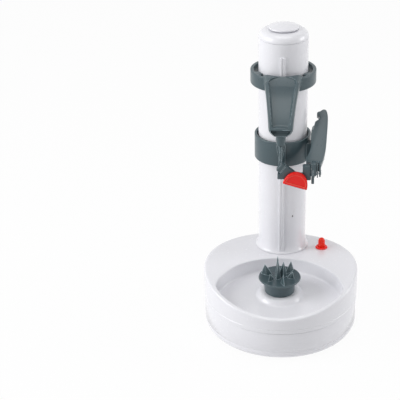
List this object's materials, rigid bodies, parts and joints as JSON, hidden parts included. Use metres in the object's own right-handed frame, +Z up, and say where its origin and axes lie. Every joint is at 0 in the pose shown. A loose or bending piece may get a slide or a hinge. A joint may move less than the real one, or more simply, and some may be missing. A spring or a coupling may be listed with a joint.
{
  "type": "electric fruit peeler",
  "caption": "Battery-driven upright fruit peeler: a motor in the round base turns the food holder and a lead screw that lowers a peeling blade down the column.",
  "frame": {"origin": "middle of the round base, on the surface that the rubber feet stand on", "axes": "+X to the right seen from the tray side, +Y from the tray towards the column, +Z up"},
  "size_m": [0.152, 0.1551, 0.2988],
  "materials": {
    "white_plastic": "glossy injection moulded white with a cool tint",
    "slate_plastic": "satin slate blue-grey",
    "red_plastic": "glossy red",
    "steel": "bright drawn steel",
    "brass": "turned brass",
    "rubber": "matt dark rubber",
    "gear_plastic": "natural acetal",
    "cell_jacket": "printed steel can, plain green",
    "black_plastic": "black switch housing",
    "circuit_board": "green board",
    "lead_sleeve": "red lead insulation"
  },
  "bodies": {
    "base": {"base_housing": "white_plastic", "bottom_pan": "white_plastic", "rubber_foot_1": "rubber", "rubber_foot_2": "rubber", "rubber_foot_3": "rubber", "rubber_foot_4": "rubber", "housing_screw_1": "steel", "housing_screw_2": "steel", "housing_screw_3": "steel", "housing_screw_4": "steel", "battery_cell_1": "cell_jacket", "battery_cell_2": "cell_jacket", "battery_cell_3": "cell_jacket", "battery_cell_4": "cell_jacket", "cell_contact_1": "steel", "cell_contact_2": "steel", "cell_contact_3": "steel", "cell_contact_4": "steel", "cell_contact_5": "steel", "gear_frame": "gear_plastic", "idler_pin": "steel", "step_pin": "steel", "motor": "steel", "spindle_bush": "brass", "spindle_seal": "rubber", "column_tube": "white_plastic", "column_cap": "white_plastic", "cap_plug": "white_plastic", "screw_foot_bush": "brass", "screw_top_bush": "brass", "button_collar": "red_plastic", "button_spring": "steel", "start_switch": "black_plastic", "circuit_board": "circuit_board", "limit_switch": "black_plastic", "motor_leads": "lead_sleeve"},
    "battery_door": {"battery_door": "white_plastic"},
    "motor_rotor": {"motor_pinion": "brass", "motor_shaft": "steel"},
    "step": {"step_gear": "gear_plastic"},
    "idler": {"idler_gear": "gear_plastic"},
    "screw": {"lead_screw": "steel", "screw_gear": "gear_plastic"},
    "spindle": {"spindle_shaft": "steel", "spindle_gear": "gear_plastic", "food_holder": "slate_plastic"},
    "carriage": {"peel_carriage": "slate_plastic", "follower_nut": "gear_plastic", "follower_screw": "steel", "arm_pivot_pin": "steel"},
    "arm": {"peel_arm": "slate_plastic", "arm_spring": "steel", "head_pin": "steel"},
    "head": {"blade_head": "slate_plastic", "blade_cartridge": "red_plastic", "peel_blade": "steel"},
    "food_arm": {"food_arm": "slate_plastic"},
    "prong": {"prong": "slate_plastic", "prong_axle": "steel"},
    "start_button": {"start_button": "red_plastic"}
  },
  "joints": [
    {"name": "spindle_spin", "type": "hinge", "parent": "base", "child": "spindle", "pos_m": [0, -0.0275, 0.06], "axis": [0, 0, 1], "range_deg": [0, 6401]},
    {"name": "screw_spin", "type": "hinge", "parent": "base", "child": "screw", "pos_m": [0, 0.0475, 0.06], "axis": [0, 0, 1], "range_deg": [0, 6401]},
    {"name": "idler_spin", "type": "hinge", "parent": "base", "child": "idler", "pos_m": [0, 0.01, 0.03], "axis": [0, 0, 1], "range_deg": [-6934.33, 0]},
    {"name": "step_spin", "type": "hinge", "parent": "base", "child": "step", "pos_m": [-0.02728, 0.02575, 0.03], "axis": [0, 0, 1], "range_deg": [0, 22187.67]},
    {"name": "motor_spin", "type": "hinge", "parent": "base", "child": "motor_rotor", "pos_m": [-0.05239, 0.02132, 0.04], "axis": [0, 0, 1], "range_deg": [-72107.67, 0]},
    {"name": "carriage_slide", "type": "slide", "parent": "base", "child": "carriage", "axis": [0, 0, 1], "range_m": [-0.08, 0]},
    {"name": "arm_swing", "type": "hinge", "parent": "carriage", "child": "arm", "pos_m": [0.036, 0.038, 0.18], "axis": [0, 0, 1], "range_deg": [0, 25], "stiffness_Nm_per_rad": 0.05},
    {"name": "head_tilt", "type": "hinge", "parent": "arm", "child": "head", "pos_m": [0.0243, 0.0025, 0.166], "axis": [1, 0, 0], "range_deg": [-12, 12]},
    {"name": "food_arm_slide", "type": "slide", "parent": "base", "child": "food_arm", "axis": [0, 0, 1], "range_m": [-0.045, 0.006]},
    {"name": "prong_spin", "type": "hinge", "parent": "food_arm", "child": "prong", "pos_m": [0, -0.0275, 0.2], "axis": [0, 0, 1], "continuous": true},
    {"name": "start_press", "type": "slide", "parent": "base", "child": "start_button", "axis": [0, 0, -1], "range_m": [0, 0.0015], "stiffness_N_per_m": 400, "deforming": ["button_spring"]},
    {"name": "door_swing", "type": "hinge", "parent": "base", "child": "battery_door", "pos_m": [0, 0.01325, 0.002], "axis": [1, 0, 0], "range_deg": [0, 90]}
  ],
  "couplings": [
    {"joint": "spindle_spin", "follows": "carriage_slide", "rad_per_m": -1396.3},
    {"joint": "screw_spin", "follows": "carriage_slide", "rad_per_m": -1396.3},
    {"joint": "idler_spin", "follows": "carriage_slide", "rad_per_m": 1512.6},
    {"joint": "step_spin", "follows": "carriage_slide", "rad_per_m": -4840.4},
    {"joint": "motor_spin", "follows": "carriage_slide", "rad_per_m": 15731}
  ]
}
